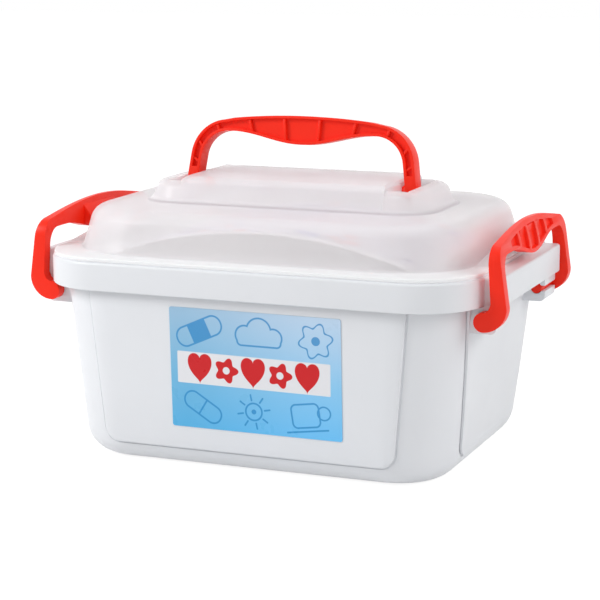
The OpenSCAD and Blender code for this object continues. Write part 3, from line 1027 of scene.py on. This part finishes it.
milk = {
    "veil": 0.56,                 # how much the lid hides of what lies behind it
    "shade": 0.14,                # and how much light it keeps out
    # painted light: the near-white painted over the flange, standing in for the lit white rim that shows
    # through it
    "flange": (0.86, 0.865, 0.88),
    "flangePaintedLightVeil": 0.9,
    "flangePaintedLightFade": (-0.1, 0.5),
    # painted shade: the colour of the dark line painted along the deck's inner corner, where shade falls
    "corner": (0.52, 0.47, 0.50),
    "paintedShadeRise": 0.55,           # above the dome's top
    "paintedShadeFade": (0.25, 0.5),
    "paintedShadeTone": 0.8,
    "paintedShadeVeil": 0.25,
    "soaked": {"Subsurface Weight": 0.8, "Subsurface Scale": 0.003, "Subsurface Radius": (1, 0.95, 0.95)},
}


def moulded(name, colour, rough, patch=0.03, grain=0.12, **uniform):
    # plain moulded plastic: faint cloudy tone, uneven gloss and a very fine grain
    f = Finish(name, colour, rough, **uniform)
    cloud = f.noise(*moulding["cloud"])
    deep = tuple(c * (1 - patch) for c in colour)
    pale = tuple(min(c * (1 + patch), 1) for c in colour)
    gloss = f.noise(*moulding["gloss"])
    return f.use(Base_Color=f.mixed(f.spread(cloud, 0.0, 1.0), (*deep, 1), (*pale, 1)),
                 Roughness=f.spread(gloss, rough - moulding["shinier"], rough + moulding["duller"]),
                 Normal=f.bump(f.noise(*moulding["grain"]), grain, moulding["grainHeight"]))


def milky(name, colour, rough, **uniform):
    # plastic that light passes more freely than sight: its shadow is paler than its veil
    veil = milk["veil"]
    f = moulded(name, colour, rough, Alpha=veil, **milk["soaked"], **uniform)
    shadowRay = f.add("ShaderNodeLightPath", out="Is Shadow Ray")
    z = f.axes()[2]
    # painted light: below the flange's top the lid is painted near-white and nearly opaque, as if the white
    # rim under it were fully lit
    flange = f.spread(z, 1.0, 0.0, *(lid["flangeTop"] + by for by in milk["flangePaintedLightFade"]))
    cloudy = Value(f, f.shader.inputs["Base Color"].links[0].from_socket)
    # painted shade: a darker, less see-through line along the deck's foot on the dome, standing in for the
    # shade in that inner corner
    corner = f.spread(abs(z - lid["domeTop"] - milk["paintedShadeRise"]), 1.0, 0.0, *milk["paintedShadeFade"])
    tone = f.mixed(corner * milk["paintedShadeTone"], cloudy, (*milk["corner"], 1))
    sight = veil + flange * (milk["flangePaintedLightVeil"] - veil) + corner * milk["paintedShadeVeil"]
    return f.use(Base_Color=f.mixed(flange, tone, (*milk["flange"], 1)),
                 Alpha=sight * (1.0 - shadowRay * (1 - milk["shade"] / veil)))


tubWhite = moulded("tub_white", *plastics["white"], patch=0.012)
lidMilky = milky("lid_milky", *plastics["lid"], patch=0.02, IOR=1.49)
shinyRed = moulded("shiny_red", *plastics["red"], patch=0.05, **{"Specular IOR Level": 0.2})
toyWhite = moulded("toy_white", *plastics["white"])
toyBlue = moulded("toy_blue", *plastics["blue"], patch=0.06)
toyGrey = moulded("toy_grey", *plastics["grey"])
clearBlue = moulded("clear_blue", *plastics["tinted"], patch=0.02, Alpha=0.45, IOR=1.49)
sealBlack = moulded("seal_black", *plastics["rubber"], patch=0.1, grain=0.3)

label = {
    "middle": (6.7, 54),          # mm, x and z
    "height": 62.3,
    "sky": ((0.0, (0.15, 0.55, 0.95)), (0.45, (0.27, 0.60, 0.89)), (1.0, (0.53, 0.69, 0.87))),
    "mottle": 0.12,
    "deep": (0.005, 0.28, 0.48),
    "deepShare": (0.35, 0.0, -38, 30),       # two shares and how far right of the middle they are
    "line": (0.012, 0.25, 0.58),
    "lineStrength": 0.82,
    "stroke": 0.46,               # half a line's width
    "paper": (0.80, 0.80, 0.83),
    "band": (41.5, 8.2, 0.6),     # half length, half height, corner
    "red": (0.63, 0.008, 0.012),
    "row": 14.6,                  # from a heart to the next daisy
    "rowHalf": 37,
    "heart": 6.6,
    "daisy": (5.6, 5, 0.2),       # radius, petals and their depth
    "daisyEye": 1.9,
}


class Drawing:
    # plane shapes for the prints, each a distance in mm that is below 0 inside
    def __init__(self, finish, u, v):
        self.finish = finish
        self.u = u
        self.v = v

    def at(self, u, v, turn=0):
        a = math.radians(turn)
        du, dv = self.u - u, self.v - v
        return Drawing(self.finish, du * math.cos(a) + dv * math.sin(a), dv * math.cos(a) - du * math.sin(a))

    def away(self, u, v):
        return (u * u + v * v).root()

    def disc(self, radius):
        return self.away(self.u, self.v) - radius

    def box(self, halfU, halfV, corner=0.0):
        du = (abs(self.u) - (halfU - corner)).most(0.0)
        dv = (abs(self.v) - (halfV - corner)).most(0.0)
        return self.away(du, dv) - corner

    def stroke(self, u0, v0, u1, v1):
        # distance from a straight stroke
        du, dv = u1 - u0, v1 - v0
        share = ((self.u - u0) * du + (self.v - v0) * dv) / (du * du + dv * dv)
        share = share.most(0.0).least(1.0)
        return self.away(self.u - u0 - share * du, self.v - v0 - share * dv)

    def heart(self, radius):
        u, v = self.u / radius, self.v / radius
        return (self.away(u, v - abs(u).root() * 0.72 + 0.22) - 1.0) * radius

    def flower(self, radius, petals, depth):
        turn = self.v.maths("ARCTAN2", self.u)
        wave = (turn * petals).maths("COSINE")
        return self.away(self.u, self.v) - (wave * depth + 1.0) * radius


def inside(d, soft=0.13):
    # 1 where the distance is below 0, with a soft edge
    return d.finish.spread(d, 1.0, 0.0, -soft, soft)


def outlined(d, stroke):
    return inside(abs(d) - stroke)


def allOf(marks):
    # one mask for all of these marks
    mask = marks[0]
    for m in marks[1:]:
        mask = mask.most(m)
    return mask


def motifs(plane):
    # the line drawings: three above the band and three below it
    w = label["stroke"]
    plaster = plane.at(-30, 19.5, 24)
    marks = [outlined(plaster.box(13, 5, 4.8), w), outlined(plaster.box(4.8, 5), w)]
    marks += [inside(plaster.at(1.8 * i, 1.8 * j).disc(0.7)) for i in (-1, 1) for j in (-1, 1)]

    cloud = plane.at(2, 20)
    puffs = cloud.at(0.6, -3.6).box(11.8, 2.4, 2.3)
    for u, v, radius in ((-7, -0.8, 5), (0.6, 1.8, 6.6), (8.4, -1.2, 4.6)):
        puffs = puffs.least(cloud.at(u, v).disc(radius))
    marks.append(outlined(puffs, w))

    bloom = plane.at(33, 19, 12)
    marks += [outlined(bloom.flower(7.8, 6, 0.17), w), inside(bloom.disc(2.3))]

    capsule = plane.at(-29, -20, -32)
    marks += [outlined(capsule.box(11, 4.5, 4.4), w), inside(capsule.stroke(0, -4.5, 0, 4.5) - w)]

    sun = plane.at(-1, -20)
    marks += [outlined(sun.disc(4.4), w), inside(sun.disc(1.3))]
    for i in range(8):
        a = math.radians(45 * i + 11)
        c, s = math.cos(a), math.sin(a)
        marks.append(inside(sun.stroke(6 * c, 6 * s, 8.8 * c, 8.8 * s) - w))

    cup = plane.at(27, -19.5, 8)
    marks += [outlined(cup.box(7.4, 6, 2.6), w), outlined(cup.at(10, 0.6).disc(3.4), w * 0.9)]
    marks.append(inside(cup.stroke(-11, -8, 11, -8) - w))
    return allOf(marks)


def labelPrint():
    skyTop = label["sky"][-1][1]
    f = Finish("label_print", skyTop, 0.3, **{"Specular IOR Level": 0.3})
    x, _, z = f.axes()
    u, v = x - label["middle"][0], z - label["middle"][1]
    marks = motifs(Drawing(f, u, v))

    # the white band, with hearts and daisies by turns
    band = Drawing(f, u, v).at(-1, 0, -0.4)
    row = label["row"]
    hearts = Drawing(f, band.u.maths("WRAP", row, -row), band.v).heart(label["heart"])
    daisies = Drawing(f, (band.u + row).maths("WRAP", row, -row), band.v)
    blooms = daisies.flower(*label["daisy"]).most(label["daisyEye"] - daisies.away(daisies.u, daisies.v))
    red = inside(hearts.least(blooms).most(abs(band.u) - label["rowHalf"]))

    height = f.spread(v, 0.0, 1.0, -label["height"] / 2, label["height"] / 2)
    uneven = f.noise(14.0, 2.0) * label["mottle"] - label["mottle"] / 2
    sky = f.add("ShaderNodeValToRGB", {"stops": label["sky"]}, {"Fac": height + uneven})
    # the print is deeper to the left
    sky = f.mixed(f.spread(u, *label["deepShare"]), sky, (*label["deep"], 1))
    colour = f.mixed(marks * label["lineStrength"], sky, (*label["line"], 1))
    colour = f.mixed(inside(band.box(*label["band"])), colour, (*label["paper"], 1))
    colour = f.mixed(red, colour, (*label["red"], 1))
    return f.use(Base_Color=colour, Roughness=f.spread(f.noise(80.0), 0.26, 0.36))


def leafletPrint():
    f = Finish("leaflet_print", sheet["tone"], 0.55)
    x, y, _ = f.axes()
    edge = abs(y)
    cells = f.add("ShaderNodeTexVoronoi", {"feature": "F1"},
                  {"Vector": f.place(), "Scale": sheet["spotScale"]}, "Distance")
    tint = Value(f, cells.socket.node.outputs["Color"])
    reds = f.add("ShaderNodeSeparateColor", sockets={0: tint}, out="Red")
    blues = Value(f, reds.socket.node.outputs["Green"])
    spot = f.spread(cells, 1.0, 0.0, *sheet["spotEdge"]) * f.spread(edge, 0.0, 1.0, *sheet["spotsFrom"])
    plane = Drawing(f, x, y)
    blueMark = plane.at(23, -46).box(4.5, 5, 2.5)
    redMark = plane.at(35, -43).disc(3).least(plane.at(45, -45).box(4, 3.5, 2))
    redMark = redMark.least(plane.at(-38, -44).disc(2.4))
    colour = (*sheet["paper"], 1)
    for share, mark, ink in ((blues, blueMark, sheet["blue"]), (reds, redMark, sheet["red"])):
        spots = spot * f.spread(share, 0.0, 1.0, *sheet["spotShare"])
        colour = f.mixed(spots.most(inside(mark)), colour, (*ink, 1))
    # painted highlight: a near-white band along the front and back edges, standing in for the light caught
    # by the sheet's bowed edge
    colour = f.mixed(f.spread(edge, 0.0, 1.0, *sheet["edgeHighlightFrom"]), colour, (*sheet["border"], 1))
    # thin paper: part of the light from above goes through
    shadowRay = f.add("ShaderNodeLightPath", out="Is Shadow Ray")
    grain = f.bump(f.noise(400.0, 3.0), 0.08, 0.05)
    return f.use(Base_Color=colour, Normal=grain, Alpha=1.0 - shadowRay * sheet["passes"])


def dressed(o, finish):
    o.data.materials.clear()
    o.data.materials.append(finish.material)


for names, finish in (
        (("front_label",), labelPrint()),
        (("syringe_barrel",), clearBlue),
        (("syringe_plunger", "thermometer", "hammer_handle", "bottle"), toyWhite),
        (("plunger_seal",), sealBlack),
        (("hammer_head", "otoscope_cone"), toyBlue),
        (("bottle_cap",), shinyRed),
        (("otoscope_body",), toyGrey)):
    for name in names:
        dressed(nodes[name], finish)
for o, finish in ((tubShell, tubWhite), (lidShell, lidMilky), (bail, shinyRed), (leftClip, shinyRed),
                  (rightClip, shinyRed), (bowedSheet, leafletPrint())):
    dressed(o, finish)
print("materials:", len(bpy.data.materials))

# Rides

for o, body, slot, *replaced in (
        (tubShell, "case", "tub_plastic", "tub"),
        (lidShell, "lid", "lid_plastic", "lid"),
        (bail, "handle", "red_plastic", "carry_handle"),
        (leftClip, "left_clip", "red_plastic", "left_clip"),
        (rightClip, "right_clip", "red_plastic", "right_clip"),
        (bowedSheet, "case", "leaflet_paper", "leaflet")):
    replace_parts(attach(o, body), *replaced)
print("rides set")

# Studio

studio = {
    "sky": 0.42,            # brightness where it isn't seen directly
    "floor": (0.9, 0.9, 0.9),
    "floorSize": 8,
    "floorShare": 0.72,     # how much of the floor that the camera sees is plain white
    "floorGlow": 1.24,
    "lamps": (              # place, size in m and watts
        ((-1.1, -0.8, 0.9), 0.6, 13.5),
        ((1.2, -0.1, 0.8), 0.7, 6),
        ((0.1, 0.3, 1.6), 0.8, 4.5)),
    "lampAim": (0, 0, 0.08),
}


def seenDirectly(f):
    # 1 for the camera and for what shiny or clear plastic shows
    rays = f.add("ShaderNodeLightPath", out="Is Camera Ray")
    outs = rays.socket.node.outputs
    mask = rays + Value(f, outs["Is Glossy Ray"]) + Value(f, outs["Is Transmission Ray"])
    return mask.least(1.0)


def floorFinish():
    f = Finish("white_floor", studio["floor"], 0.7)
    glow = f.add("ShaderNodeEmission", {}, {"Color": (1, 1, 1, 1), "Strength": studio["floorGlow"]})
    lit = Value(f, f.shader.outputs[0])
    both = f.add("ShaderNodeMixShader", {}, {0: seenDirectly(f) * studio["floorShare"], 1: lit, 2: glow})
    f.plug(both, f.tree.nodes["Material Output"].inputs["Surface"])
    return f


class Sky(Finish):
    # the world's light: plain white where it is seen, dimmer where it lights the case
    def __init__(self, world):
        world.use_nodes = True
        self.tree = world.node_tree
        back = self.tree.nodes["Background"]
        back.inputs["Color"].default_value = (1, 1, 1, 1)
        self.plug(seenDirectly(self) * (1 - studio["sky"]) + studio["sky"], back.inputs["Strength"])


def addStudio():
    deselectAll()
    bpy.ops.mesh.primitive_plane_add(size=studio["floorSize"], location=(0, 0, 0))
    floor = bpy.context.object
    floor.name = "floor"
    dressed(floor, floorFinish())
    scene.world = bpy.data.worlds.new("studio")
    Sky(scene.world)
    for place, size, power in studio["lamps"]:
        bpy.ops.object.light_add(type="AREA", location=place)
        lamp = bpy.context.object
        lamp.data.size = size
        lamp.data.energy = power
        ahead = Vector(studio["lampAim"]) - Vector(place)
        lamp.rotation_euler = ahead.to_track_quat("-Z", "Y").to_euler()


addStudio()
scene.view_settings.view_transform = "Standard"
print("studio ready")
